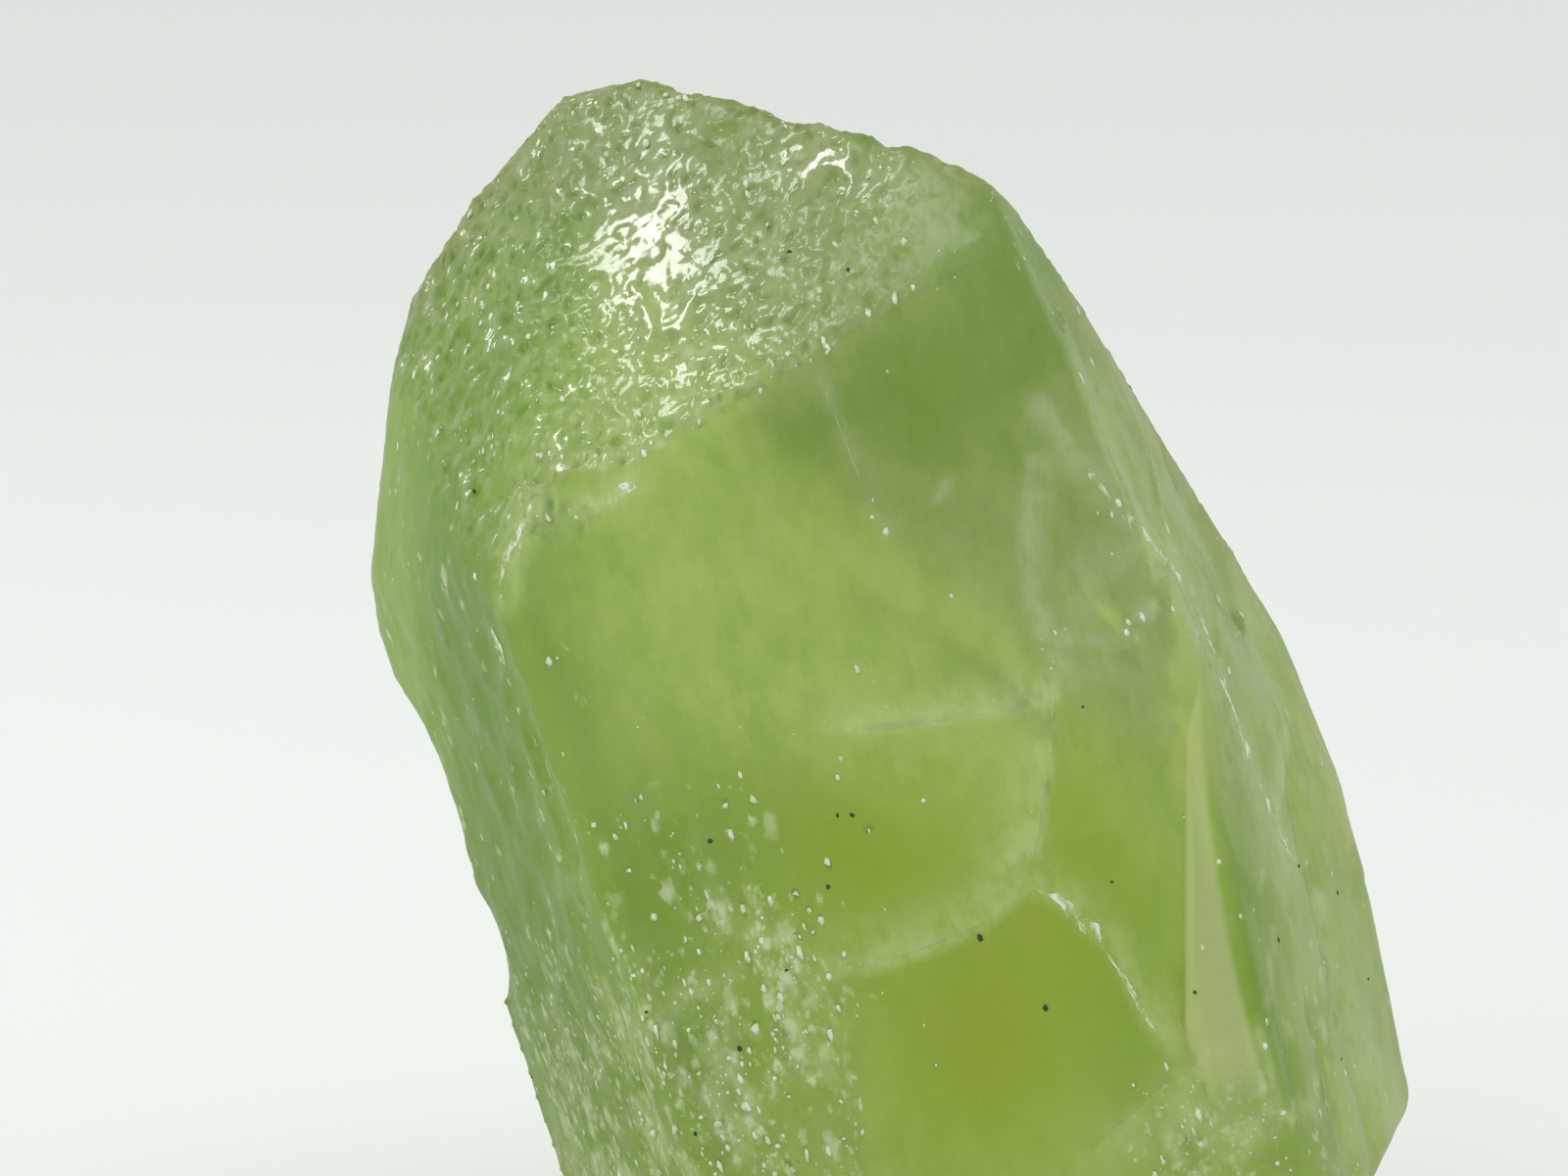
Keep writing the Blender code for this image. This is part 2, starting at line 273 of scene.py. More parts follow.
skin_mesh = bpy.data.meshes.new("crystal")
net.to_mesh(skin_mesh)
net.free()
points = np.empty(len(skin_mesh.vertices) * 3)
skin_mesh.vertices.foreach_get("co", points)
points = points.reshape(-1, 3) / MM
facing = np.empty(len(skin_mesh.vertices) * 3)
skin_mesh.vertex_normals.foreach_get("vector", facing)
facing = facing.reshape(-1, 3)
pairs = np.empty(len(skin_mesh.edges) * 2, dtype=int)
skin_mesh.edges.foreach_get("vertices", pairs)
pairs = pairs.reshape(-1, 2)
neighbours = np.bincount(pairs.ravel(), minlength=len(points))


def blurred(values, turns):
    """Averages a value over the net's neighbours, several times."""
    values = values.copy()
    ends = np.concatenate([pairs[:, 0], pairs[:, 1]])
    others = np.concatenate([pairs[:, 1], pairs[:, 0]])
    for _ in range(turns):
        for axis in range(3):
            total = np.bincount(ends, weights=values[others, axis], minlength=len(values))
            values[:, axis] = (values[:, axis] + total) / (neighbours + 1)
    return values


def ease(values, start, end):
    """0 below start, 1 above end, and a smooth step between."""
    t = np.clip((values - start) / (end - start), 0, 1)
    return t * t * (3 - 2 * t)


def distance_to_line(start, end):
    """How far each point of the skin is from a straight line between two places, in mm."""
    start, end = np.array(start), np.array(end)
    along = np.clip((points - start) @ (end - start) / ((end - start) @ (end - start)), 0, 1)
    return np.linalg.norm(points - start - along[:, None] * (end - start), axis=1)


worn = np.max([np.exp(-(distance_to_line(*edge) / WORN_REACH) ** 2) for edge in WORN_EDGES], axis=0)[:, None]
points = points * (1 - worn) + blurred(points, WEAR_TURNS) * worn
wide_facing = blurred(facing, BLUR_TURNS)
wide_facing /= np.linalg.norm(wide_facing, axis=1)[:, None]
on_top = ease(wide_facing[:, 2] - RIGHT_LEAST * np.clip(wide_facing[:, 0], 0, 1), 0.28, 0.38)
on_front = ease(-wide_facing[:, 1], 0.55, 0.85) * (1 - on_top)
on_back = ease(wide_facing[:, 1], 0.55, 0.85) * (1 - on_top)
on_side = np.clip(1 - on_top - on_front - on_back, 0, 1)
off_foot = ease(points[:, 2], 0.05, 0.6)


def filled(values, share):
    """Fills hollows: a point may move out towards the mean of its neighbours, and never in."""
    for _ in range(FILL_TURNS):
        outwards = ((blurred(values, FILL_REACH) - values) * wide_facing).sum(axis=1)
        values = values + wide_facing * (np.maximum(outwards, 0) * share)[:, None]
    return values


left_outline = np.exp(-(distance_to_line(*LEFT_OUTLINE) / LEFT_REACH) ** 2) * off_foot
points = filled(points, np.maximum(on_top, left_outline))
print("top share", round(on_top.mean(), 2), "side share", round(on_side.mean(), 2))

# %% [markdown]
# Colour and frost sit in soft patches. Each patch is written as a spot on the stone as it is seen from the front:
# where its middle is, how far it reaches, how it is turned and how strong it is. A spot works through the whole
# thickness, as colour does in a clear stone. The darker patches are in part painted shade: the dark band under the
# top edge and the darker left side are shade painted into the colour, and the rest is a deeper green of the stone.

# %% Soft patches of frost, painted shade and deeper green, and glow
FROST_SPOTS = {
    "low left": (-3.8, 2.9, 3.8, 3.2, 0, 0.98),
    "above the low left": (-2.8, 6.6, 2.2, 2.0, -20, 0.70),
    "left foot": (-6.2, 5.2, 1.6, 5.0, 18, 0.32),
    "left margin": (-8.3, 15.6, 1.5, 4.2, 5, 0.12),
    "middle left": (-4.0, 9.8, 2.6, 1.4, 0, 0.34),
    "left of the middle": (-6.4, 11.5, 1.5, 3.0, 10, 0.25),
    "broken low right": (6.3, 3.2, 1.9, 1.7, -35, 0.75),
    "right margin low": (8.6, 5.6, 1.3, 4.4, 14, 0.36),
    "right margin high": (6.1, 15.2, 0.9, 6.2, 22, 0.20),
    "crack of the arc": (2.6, 8.6, 0.9, 1.0, 0, 0.20),
    "band": (1.0, 12.1, 2.6, 0.7, 4, 0.30),
    "centre haze": (-1.2, 14.4, 4.4, 2.4, 0, 0.08),
}
# darker patches: in part painted shade (under the top edge, down the left side), in part a deeper green of the stone
PAINTED_SHADE_AND_GREEN_SPOTS = {
    "under the top edge": (1.0, 18.3, 2.3, 1.6, 38, 0.42),
    "under the top edge, left": (-1.7, 17.3, 1.7, 0.6, 30, 0.35),
    "upper right": (3.0, 19.9, 1.2, 1.8, 20, 0.35),
    "upper left": (-7.6, 19.0, 1.6, 3.2, -20, 0.80),
    "left of the glitter": (-6.6, 20.3, 0.5, 1.6, 0, 0.60),
    "window right": (4.9, 6.0, 0.9, 2.4, 0, 0.42),
    "beside the wedge low": (7.6, 5.4, 0.65, 3.0, 12, 0.62),
    "left side": (-8.4, 12.5, 1.9, 7.5, 8, 0.95),
    "left foot": (-6.8, 5.5, 1.8, 4.8, 18, 0.90),
    "top right end": (1.9, 21.5, 1.2, 1.2, 0, 0.38),
    "left middle": (-6.6, 11.0, 1.3, 2.0, 0, 0.30),
    "beside the wedge": (7.0, 8.4, 0.40, 3.6, 7, 0.62),
    "above the foot": (-3.9, 5.3, 0.9, 0.5, 30, 0.45),
    "low left": (-4.6, 5.4, 2.9, 3.8, 0, 0.60),
    "olive left": (-3.6, 8.8, 2.0, 1.5, 0, 0.60),
}
FROST_CUT = (-0.55, -0.40)    # the frost low on the front ends in a straight line here
FROST_CUT_SHARE = 0.9
GLOW_SPOTS = {
    "window": (1.9, 5.3, 2.5, 3.2, -6, 1.0),
    "window top": (3.6, 8.2, 1.5, 2.4, 0, 0.75),
    "window left": (-0.1, 7.6, 2.4, 1.9, 0, 0.45),
    "pale centre": (-1.2, 15.0, 2.9, 2.0, 0, 0.35),
    "right of the arc": (3.6, 10.6, 1.2, 1.8, 0, 0.35),
    "olive": (-0.8, 8.7, 2.4, 1.7, -8, 1.0),
    "olive left": (-3.8, 8.6, 2.4, 1.9, 0, 0.95),
    "right of the window": (4.7, 6.2, 1.2, 2.4, 0, 0.70),
    "low middle": (-3.2, 5.2, 2.6, 2.4, 0, 0.55),
    "beside the wedge": (7.4, 6.0, 0.7, 3.0, 12, 0.45),
    # this spot also deepens the painted shade under the top edge
    "under the top edge": (1.0, 18.3, 2.0, 1.4, 38, 0.40),
}
VEIL_LINES = {
    # name: (path as (x, z), reach on the left of the path, reach on its right, strength)
    "arc": (((3.25, 12.2), (3.1, 10.6), (2.9, 9.3), (2.5, 8.2), (1.8, 7.55), (0.9, 7.15), (-0.6, 6.65)), 0.10, 0.75, 0.60),
    "tall": (((2.85, 16.8), (2.7, 15.6), (2.75, 14.4), (3.2, 12.7)), 0.30, 0.20, 0.80),
    "scallop rim": (((3.5, 13.3), (4.2, 13.05), (4.8, 13.3), (5.2, 13.9)), 0.28, 0.10, 0.85),
    "scallop": (((3.9, 14.6), (4.6, 14.8)), 0.7, 0.8, 0.58),
    "flat": (((-0.8, 11.45), (0.6, 11.6), (1.9, 11.8), (3.0, 12.05)), 0.55, 0.12, 0.65),
    "diagonal": (((-1.35, 18.4), (-0.9, 17.3), (-0.1, 15.5)), 0.20, 0.15, 0.40),
    "white crack": (((2.5, 8.5), (3.4, 8.1), (4.3, 7.2), (5.3, 5.4)), 0.55, 0.15, 0.50),
    "edge top": (((3.0, 17.9), (3.7, 17.0), (4.6, 15.8), (5.45, 14.8)), 0.35, 0.35, 0.75),
    "edge low": (((5.45, 14.8), (6.45, 12.7), (7.1, 10.7), (8.2, 8.3)), 0.20, 0.40, 0.55),
    "bright ledge": (((-5.9, 15.95), (-4.95, 16.4)), 0.25, 0.25, 0.80),
    "left ledge": (((-7.0, 16.1), (-7.6, 14.9), (-7.75, 14.2)), 0.45, 0.2, 0.60),
    "foot": (((4.4, 3.5), (6.4, 5.15)), 0.15, 0.9, 0.35),
    "smear": (((-4.5, 5.9), (-3.3, 6.5)), 0.3, 0.3, 0.5),
    "pale centre": (((-2.6, 15.2), (0.6, 14.8)), 1.4, 1.4, 0.14),
    "pale right": (((3.6, 12.9), (5.2, 12.3)), 0.9, 0.9, 0.36),
    "side streak high": (((7.96, 10.95), (7.75, 9.64), (8.05, 8.44)), 0.10, 0.22, 0.90),
    "side patch": (((8.67, 7.7), (8.79, 7.2)), 0.15, 0.20, 0.90),
    "side streak middle": (((7.63, 7.33), (7.51, 6.0)), 0.08, 0.10, 0.60),
    "side streak low": (((7.33, 5.47), (7.78, 3.68)), 0.08, 0.12, 0.60),
    "side haze": (((8.78, 6.55), (9.5, 5.0), (10.02, 3.58)), 0.40, 0.60, 0.60),
    "wedge foot": (((6.92, 3.25), (7.78, 3.68), (8.24, 3.72)), 0.30, 0.30, 0.90),
    "low white": (((5.47, 3.46), (5.77, 2.84)), 0.10, 0.10, 1.00),
    "small patch": (((0.95, 16.1), (1.12, 16.45)), 0.12, 0.12, 0.60),
}


def soft_spots(spots):
    """How strongly each point of the skin lies in a set of soft patches, 0 to 1."""
    clear = np.ones(len(points))
    for x, z, reach_x, reach_z, turn, strength in spots.values():
        angle = math.radians(turn)
        right = (points[:, 0] - x) * math.cos(angle) + (points[:, 2] - z) * math.sin(angle)
        up = (points[:, 2] - z) * math.cos(angle) - (points[:, 0] - x) * math.sin(angle)
        distance = (right / reach_x) ** 2 + (up / reach_z) ** 2
        clear *= 1 - strength * np.exp(-distance)
    return 1 - clear


def soft_lines(lines):
    """How strongly each point lies in a set of soft bands, each with its own reach on either side of a path."""
    clear = np.ones(len(points))
    for path, left, right, strength in lines.values():
        nearest = np.full(len(points), np.inf)
        side = np.zeros(len(points))
        for (x0, z0), (x1, z1) in zip(path, path[1:]):
            run, rise = x1 - x0, z1 - z0
            length = math.hypot(run, rise)
            along = np.clip(((points[:, 0] - x0) * run + (points[:, 2] - z0) * rise) / length ** 2, 0, 1)
            off_x, off_z = points[:, 0] - x0 - along * run, points[:, 2] - z0 - along * rise
            distance = np.hypot(off_x, off_z)
            closer = distance < nearest
            nearest = np.where(closer, distance, nearest)
            side = np.where(closer, run * off_z - rise * off_x, side)
        reach = np.where(side > 0, left, right)
        clear *= 1 - strength * np.exp(-(nearest / reach) ** 2) * (points[:, 1] < 0)
    return 1 - clear


veil = soft_lines(VEIL_LINES)
frost = soft_spots(FROST_SPOTS)
frost *= 1 - FROST_CUT_SHARE * ease(points[:, 0], *FROST_CUT) * ease(points[:, 2], 5.6, 5.0) * (points[:, 0] < 3)
painted_shade_and_green = soft_spots(PAINTED_SHADE_AND_GREEN_SPOTS)
glow = soft_spots(GLOW_SPOTS)
print("frost", round(frost.mean(), 2), "painted_shade_and_green", round(painted_shade_and_green.mean(), 2), "glow", round(glow.mean(), 2))

# %% [markdown]
# Etching leaves small tilted facets, stretched along the growth direction, with a few long columns between them. A
# facet that happens to mirror the lamp turns white as a whole. A cell pattern gives such facets: every cell is a
# flat piece with a lean of its own. In the still spots the facets lean less, and many of them flash together.
# They are moved into the mesh and not drawn with a bump, because the outline of the stone shows them too.
# Every height is a noise value: one call gives the same number every time, so nothing changes from run to run.

# %% Relief in the mesh
GLITTER_FACING = (-0.362, -0.717, 0.594)    # the big top face that mirrors the small lamp
GLITTER_REACH = (0.86, 0.97)
LEFT_START = (-4.8, -6.4)    # from here to the left the faces mirror the side lamp
LEFT_BRIGHT = 0.9
GLINT_WIDE = 0.30
GLINT_LONG = 0.85
GLINT_STEP = (0.16, 0.30)    # only where the noise is above this does a left face mirror the lamp
CALM_SHARE = 0.6    # how much smoother the right side is than the left
GLITTER_SPOTS = {
    "columns": (-4.9, 21.2, 1.4, 2.4, 0, 0.95),
    "below the columns": (-4.2, 19.2, 1.6, 1.0, 0, 0.70),
    "ridge patch": (-1.3, 22.5, 1.2, 0.6, -8, 0.95),
    "middle": (-2.6, 20.6, 2.0, 1.4, 0, 0.30),
    "lower edge": (-4.0, 17.8, 2.4, 0.8, 25, 0.40),
}
PLAIN_END = {"right end of the top face": (1.5, 21.0, 1.5, 1.5, 0, 0.85)}    # here the etching fades out
CREVICE_END = (1.0, -2.5)    # the crevices fade out to the right of here
STILL_SPOTS = {
    "column left": (-5.75, 20.9, 0.36, 1.9, 4, 0.85),
    "column middle": (-4.85, 21.9, 0.42, 2.0, -4, 0.85),
    "column right": (-4.2, 19.4, 0.32, 1.5, 0, 0.80),
    "heart": (-4.6, 20.6, 1.0, 0.8, 0, 0.75),
    "right of the heart": (-3.4, 20.7, 0.7, 0.5, -20, 0.60),
    "ridge patch": (-0.9, 22.5, 0.9, 0.35, -12, 0.90),
    "ridge patch left": (-1.9, 22.4, 0.5, 0.45, 0, 0.70),
}
FACET_WIDE = 0.22
FACET_LONG = 0.62
FACET_LEAN = 0.075
HILLOCK_WIDE = 0.26
HILLOCK_LONG = 0.46
HILLOCK_HIGH = 0.007
CRUMB_SIZE = 0.17
CRUMB_HIGH = 0.002
COLUMN_WIDE = 0.42
COLUMN_LONG = 3.2
COLUMN_HIGH = 0.050
CREVICE_WIDE = 0.17
CREVICE_LONG = 1.3
CREVICE_DEEP = 0.035
CREVICE_START = 0.22    # the noise value where a crevice starts
SWELL_SIZE = 1.7
SWELL_HIGH = 0.10
SIDE_FACETS = 0.7    # the left faces are etched too, less deeply
LINE_WIDE = 0.45
LINE_LONG = 6.0
LINE_HIGH = 0.006
PEBBLE_SIZE = 0.5
PEBBLE_HIGH = 0.016
FRONT_WAVE_SIZE = 2.6
FRONT_WAVE_HIGH = 0.05
FROST_GRAIN = 0.5
FROST_HIGH = 0.035


def grain_place(place, wide, long, seed):
    """A place counted in grains that are wide across the growth direction and long along it, in mm."""
    along = place.dot(growth)
    return (place - growth * along) / wide + growth * (along / long) + Vector((seed, seed * 0.7, seed * 1.3))


def height_at(place, wide, long, seed):
    """Smooth noise, -1 to 1, in such grains."""
    return noise.noise(grain_place(place, wide, long, seed))


def facet_at(place, wide, long, seed):
    """A pattern of flat cells, each leaning its own way. Zero at the middle of a cell."""
    grain = grain_place(place, wide, long, seed)
    middle = noise.voronoi(grain)[1][0]
    lean = noise.noise_vector(middle * 3.7 + Vector((seed, 0, 0)))
    return (grain - middle).dot(lean)


growth = Vector(GROWTH)
still = soft_spots(STILL_SPOTS)
on_top *= 1 - soft_spots(PLAIN_END)
relief = np.zeros(len(points))
grooves = np.zeros(len(points))
leftwards = ease(points[:, 0], *CREVICE_END) * 0.8 + 0.2
for i, point in enumerate(points):
    place = Vector(point)
    top, side, flat = on_top[i], on_side[i], on_front[i] + on_back[i]
    high = SWELL_HIGH * (0.3 + 0.7 * top) * height_at(place, SWELL_SIZE, SWELL_SIZE, 3) * 0.5
    if top > 0.01:
        lively = 1 - still[i]
        facet = facet_at(place, FACET_WIDE, FACET_LONG, 5)
        hillock = height_at(place, HILLOCK_WIDE, HILLOCK_LONG, 11)
        column = height_at(place, COLUMN_WIDE, COLUMN_LONG, 23)
        crumb = height_at(place, CRUMB_SIZE, CRUMB_SIZE * 1.5, 37)
        etching = FACET_LEAN * facet + HILLOCK_HIGH * hillock + CRUMB_HIGH * crumb
        crevice = max(0, height_at(place, CREVICE_WIDE, CREVICE_LONG, 29) - CREVICE_START) * leftwards[i]
        column -= crevice * CREVICE_DEEP / COLUMN_HIGH / 0.3
        grooves[i] = -crevice / 0.3
        high += top * (etching * (0.10 + 0.90 * lively) + COLUMN_HIGH * column * lively)
    if side > 0.01:
        line = height_at(place, LINE_WIDE, LINE_LONG, 41)
        broad_line = height_at(place, LINE_WIDE * 3, LINE_LONG * 1.4, 43)
        pebble = height_at(place, PEBBLE_SIZE, PEBBLE_SIZE * 1.8, 47)
        high += side * (LINE_HIGH * (line + broad_line) + PEBBLE_HIGH * pebble)
        if place.x < 0:
            high += side * SIDE_FACETS * FACET_LEAN * facet_at(place, FACET_WIDE * 1.5, FACET_LONG * 1.3, 5)
    if flat > 0.01:
        high += flat * FRONT_WAVE_HIGH * height_at(place, FRONT_WAVE_SIZE, FRONT_WAVE_SIZE * 1.6, 53)
    if frost[i] > 0.05:
        grain = height_at(place, FROST_GRAIN, FROST_GRAIN * 1.4, 61)
        high += (1 - top) * frost[i] * FROST_HIGH * grain
    relief[i] = high
points += facing * (relief * off_foot)[:, None]
points[:, 2] = np.maximum(points[:, 2], 0)
skin_mesh.vertices.foreach_set("co", (points * MM).ravel())
skin_mesh.update()
skin_mesh.shade_smooth()
bright = on_top * ease(wide_facing @ np.array(GLITTER_FACING), GLITTER_REACH[0], GLITTER_REACH[1])
bright *= soft_spots(GLITTER_SPOTS)
leftmost = ease(points[:, 0], *LEFT_START) * (on_top + 0.25 * on_side) * ease(-wide_facing[:, 1], 0.15, 0.35)
glint = np.array([height_at(Vector(point), GLINT_WIDE, GLINT_LONG, 71) for point in points])
bright = np.maximum(bright, LEFT_BRIGHT * leftmost * ease(glint, *GLINT_STEP))
# painted shade: the crevices on the top faces are darkened in colour
painted_crevice_shade = np.clip(-grooves, 0, 1) * on_top
# painted shade: where the skin is seen edge-on from the camera its colour is darkened, as a dark outline
painted_edge_shade = ease(1 - np.abs(facing[:, 1]), 0.80, 0.97) * (1 - ease(wide_facing[:, 2], 0.5, 0.8))
lined = on_side * (1 - CALM_SHARE * ease(points[:, 0], 2.0, 4.0))
patches = {
    "frost": frost, "painted_shade_and_green": painted_shade_and_green, "glow": glow, "veil": veil,
    "etched": on_top, "lined": lined, "bright": bright, "painted_crevice_shade": painted_crevice_shade, "painted_edge_shade": painted_edge_shade,
    "pale_side": on_side * ease(points[:, 0], 2.0, 4.0),
}
for name, values in patches.items():
    skin_mesh.attributes.new(name, "FLOAT", "POINT").data.foreach_set("value", values)
print("relief from", round(relief.min(), 3), "to", round(relief.max(), 3), "mm")

# %% [markdown]
# Two effects are needed in more than one finish, so each is a node group: flecks and clouds. They
# read a place in millimetres and put out a mask, and the finish decides what the mask does.

# %% Node groups for flecks and clouds
FLECK_BEND = 0.9    # how far noise bends the round cells into ragged smudges


def new_group(name, inputs, outputs):
    """A node group with named sockets. Inputs are (name, kind, default)."""
    group = bpy.data.node_groups.new(name, "ShaderNodeTree")
    for label, kind, default in inputs:
        socket = group.interface.new_socket(label, in_out="INPUT", socket_type=kind)
        if default is not None:
            socket.default_value = default
    for label in outputs:
        group.interface.new_socket(label, in_out="OUTPUT", socket_type="NodeSocketFloat")
    return group, group.nodes.new("NodeGroupInput"), group.nodes.new("NodeGroupOutput")


def add_math(tree, operation, first, second=None, third=None):
    """A Math node. Each argument is a number or a socket."""
    node = tree.nodes.new("ShaderNodeMath")
    node.operation = operation
    for socket, value in zip(node.inputs, (first, second, third)):
        if value is None:
            continue
        if isinstance(value, (int, float)):
            socket.default_value = value
        else:
            tree.links.new(value, socket)
    return node.outputs[0]


def add_step(tree, value, start, end):
    """0 below start, 1 above end, smooth between."""
    node = tree.nodes.new("ShaderNodeMapRange")
    node.interpolation_type = "SMOOTHSTEP"
    tree.links.new(value, node.inputs["Value"])
    for label, number in (("From Min", start), ("From Max", end)):
        if isinstance(number, (int, float)):
            node.inputs[label].default_value = number
        else:
            tree.links.new(number, node.inputs[label])
    return node.outputs["Result"]


def add_scale(tree, vector, factor):
    """A vector times a number or a vector."""
    node = tree.nodes.new("ShaderNodeVectorMath")
    node.operation = "MULTIPLY"
    tree.links.new(vector, node.inputs[0])
    node.inputs[1].default_value = factor
    return node.outputs[0]


def flecks_group():
    """Small separate flecks: the cores of some cells of a cell pattern."""
    group, given, result = new_group(
        "Flecks",
        [("Place", "NodeSocketVector", None), ("Amount", "NodeSocketFloat", 0.3)],
        ["Mask"],
    )
    cells = group.nodes.new("ShaderNodeTexVoronoi")
    cells.inputs["Scale"].default_value = 1
    bend = group.nodes.new("ShaderNodeTexNoise")
    bend.inputs["Scale"].default_value = 2.2
    moved = group.nodes.new("ShaderNodeVectorMath")
    moved.operation = "MULTIPLY_ADD"
    moved.inputs[1].default_value = (FLECK_BEND, FLECK_BEND, FLECK_BEND)
    group.links.new(given.outputs["Place"], bend.inputs["Vector"])
    group.links.new(bend.outputs["Color"], moved.inputs[0])
    group.links.new(given.outputs["Place"], moved.inputs[2])
    group.links.new(moved.outputs[0], cells.inputs["Vector"])
    core = add_step(group, cells.outputs["Distance"], 0.52, 0.04)
    split = group.nodes.new("ShaderNodeSeparateColor")
    group.links.new(cells.outputs["Color"], split.inputs["Color"])
    chosen = add_math(group, "LESS_THAN", split.outputs["Red"], given.outputs["Amount"])
    strength = add_math(group, "MULTIPLY_ADD", split.outputs["Green"], 0.6, 0.45)
    mask = add_math(group, "MULTIPLY", core, chosen)
    group.links.new(add_math(group, "MULTIPLY", mask, strength), result.inputs["Mask"])
    return group


def clouds_group():
    """Soft clouds with finer ones inside."""
    group, given, result = new_group(
        "Clouds",
        [("Place", "NodeSocketVector", None), ("Low", "NodeSocketFloat", 0.4), ("High", "NodeSocketFloat", 0.7)],
        ["Mask"],
    )
    cloud = group.nodes.new("ShaderNodeTexNoise")
    cloud.inputs["Scale"].default_value = 1
    cloud.inputs["Detail"].default_value = 4
    cloud.inputs["Roughness"].default_value = 0.6
    group.links.new(given.outputs["Place"], cloud.inputs["Vector"])
    group.links.new(
        add_step(group, cloud.outputs["Fac"], given.outputs["Low"], given.outputs["High"]), result.inputs["Mask"]
    )
    return group


flecks = flecks_group()
clouds = clouds_group()
print("node groups:", [g.name for g in (flecks, clouds)])

# %% [markdown]
# The green of peridot comes from iron in the whole crystal, so thick places are deeper. Plain transmission with
# the real index of refraction, 1.67, and plain absorption in the volume give that. The skin is part frosted, so
# a share of the light is scattered at the surface, and this share takes the colour patches, flecks and clouds.

# %% The peridot finish
GREEN = (0.55, 0.675, 0.21)
DEEP_GREEN = (0.19, 0.375, 0.0)
WINDOW_GREEN = (0.33, 0.44, 0.0)
# the dark green of painted shade, on the left side and on the rims seen edge-on
PAINTED_SHADE_GREEN = (0.10, 0.20, 0.01)
FROST_GREEN = (0.33, 0.42, 0.13)
VEIL_WHITE = (0.76, 0.84, 0.50)
FROST_WHITE = (0.69, 0.77, 0.42)
WEDGE_GREEN = (0.66, 0.74, 0.34)
FLECK_WHITE = (0.90, 0.94, 0.76)
PERIDOT_IOR = 1.67
SEE_THROUGH = 0.62
MIRROR_STRENGTH = 0.05
COAT_ROUGHNESS = 0.1
ABSORB_COLOUR = (0.85, 0.93, 0.0)
ABSORB_DENSITY = 100


def add_group(tree, group, place, **values):
    """Places a node group in a material, reading a place, and gives its mask."""
    node = tree.nodes.new("ShaderNodeGroup")
    node.node_tree = group
    tree.links.new(place, node.inputs["Place"])
    for label, number in values.items():
        if isinstance(number, (int, float)):
            node.inputs[label].default_value = number
        else:
            tree.links.new(number, node.inputs[label])
    return node.outputs["Mask"]


def add_tint(tree, factor, first, second):
    """Mixes two colours. Each is a colour or a socket."""
    node = tree.nodes.new("ShaderNodeMix")
    node.data_type = "RGBA"
    tree.links.new(factor, node.inputs["Factor"])
    for label, colour in (("A", first), ("B", second)):
        if isinstance(colour, tuple):
            node.inputs[label].default_value = (*colour, 1)
        else:
            tree.links.new(colour, node.inputs[label])
    return node.outputs["Result"]


def add_mask(tree, name):
    """Reads one of the skin's named patches."""
    node = tree.nodes.new("ShaderNodeAttribute")
    node.attribute_name = name
    return node.outputs["Fac"]


WEDGE_TOP = 12.9
WEDGE_LEFT = 5.8
WEDGE_RIGHT = 6.22
WEDGE_CURVE = 0.018
WEDGE_SHOULDER = 0.28
WEDGE_BEND = 5.4
WEDGE_FOOT_SLOPE = 0.27
WEDGE_FOOT = 3.5
WEDGE_BLUR = 0.10
WEDGE_BACK = -5.4


def growth_place(tree):
    """The place on the stone in millimetres, turned so that its Z runs along the growth direction."""
    coordinates = tree.nodes.new("ShaderNodeTexCoord")
    turn = tree.nodes.new("ShaderNodeMapping")
    turn.vector_type = "TEXTURE"
    turn.inputs["Rotation"].default_value = (0, -LEAN, 0)
    turn.inputs["Scale"].default_value = (MM, MM, MM)
    tree.links.new(coordinates.outputs["Object"], turn.inputs["Vector"])
    return turn.outputs["Vector"]


def wedge_mask(tree):
    """The pale slanted facet low on the right: straight on its left, a hollow curve on its right."""
    coordinates = tree.nodes.new("ShaderNodeTexCoord")
    split = tree.nodes.new("ShaderNodeSeparateXYZ")
    tree.links.new(add_scale(tree, coordinates.outputs["Object"], (1 / MM, 1 / MM, 1 / MM)), split.inputs["Vector"])
    x, y, z = split.outputs
    below = add_math(tree, "SUBTRACT", WEDGE_TOP, z)
    right_edge = add_math(tree, "MULTIPLY_ADD", add_math(tree, "POWER", below, 2), WEDGE_CURVE, WEDGE_RIGHT)
    upper_edge = add_math(tree, "MULTIPLY_ADD", below, -WEDGE_SHOULDER, WEDGE_RIGHT)
    lower_edge = add_math(tree, "MULTIPLY_ADD", add_math(tree, "SUBTRACT", z, WEDGE_BEND), -WEDGE_FOOT_SLOPE, WEDGE_LEFT)
    left_edge = add_math(tree, "MAXIMUM", add_math(tree, "MAXIMUM", upper_edge, lower_edge), WEDGE_LEFT)
    from_left = add_step(tree, add_math(tree, "SUBTRACT", x, left_edge), 0.0, WEDGE_BLUR)
    from_right = add_step(tree, add_math(tree, "SUBTRACT", right_edge, x), 0.0, WEDGE_BLUR * 2)
    front = add_step(tree, y, WEDGE_BACK, WEDGE_BACK - 0.4)
    foot = add_step(tree, z, WEDGE_FOOT, WEDGE_FOOT + 1.6)
    return add_math(tree, "MULTIPLY", add_math(tree, "MULTIPLY", from_left, from_right), add_math(tree, "MULTIPLY", front, foot))


